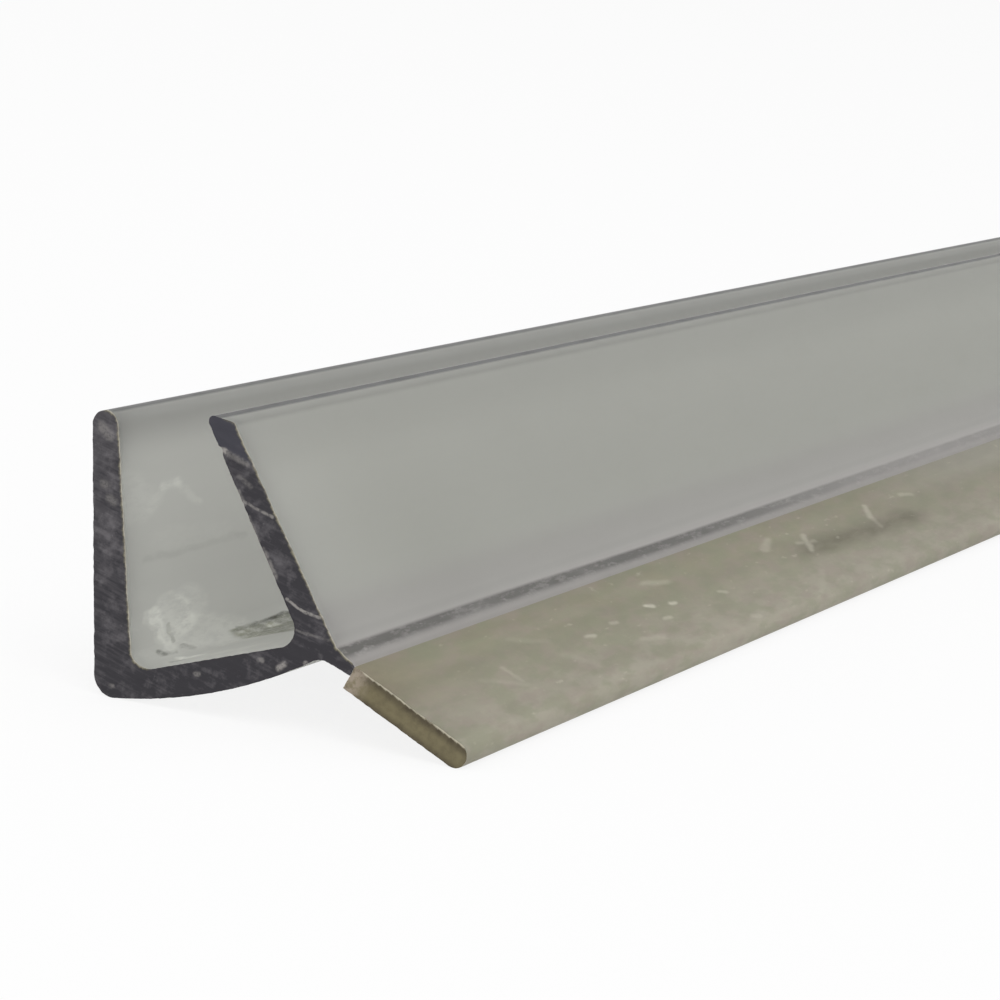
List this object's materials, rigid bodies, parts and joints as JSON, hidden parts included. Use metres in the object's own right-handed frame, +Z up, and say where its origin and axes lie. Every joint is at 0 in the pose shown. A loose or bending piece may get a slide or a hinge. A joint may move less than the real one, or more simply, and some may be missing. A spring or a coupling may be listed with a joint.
{
  "type": "shower door seal strip",
  "caption": "Clear plastic shower door seal strip: a channel with two converging legs that grips the glass edge, and a soft drip fin along one side.",
  "frame": {"origin": "on the floor under the middle of the strip's bounding box", "axes": "+Y along the strip, away from the pictured end; +Z up, with the strip lying on its heel and on the fin's tip; +X from the channel towards the fin"},
  "size_m": [0.0202, 0.6, 0.0139],
  "materials": {
    "clear_channel": "smoke-grey clear stiff plastic, satin from handling, dusty inside the slot",
    "drip_fin": "soft clear plastic yellowed to olive, with fine scratches along it"
  },
  "bodies": {
    "root": {"clear_channel": "clear_channel", "drip_fin": "drip_fin"}
  },
  "joints": []
}
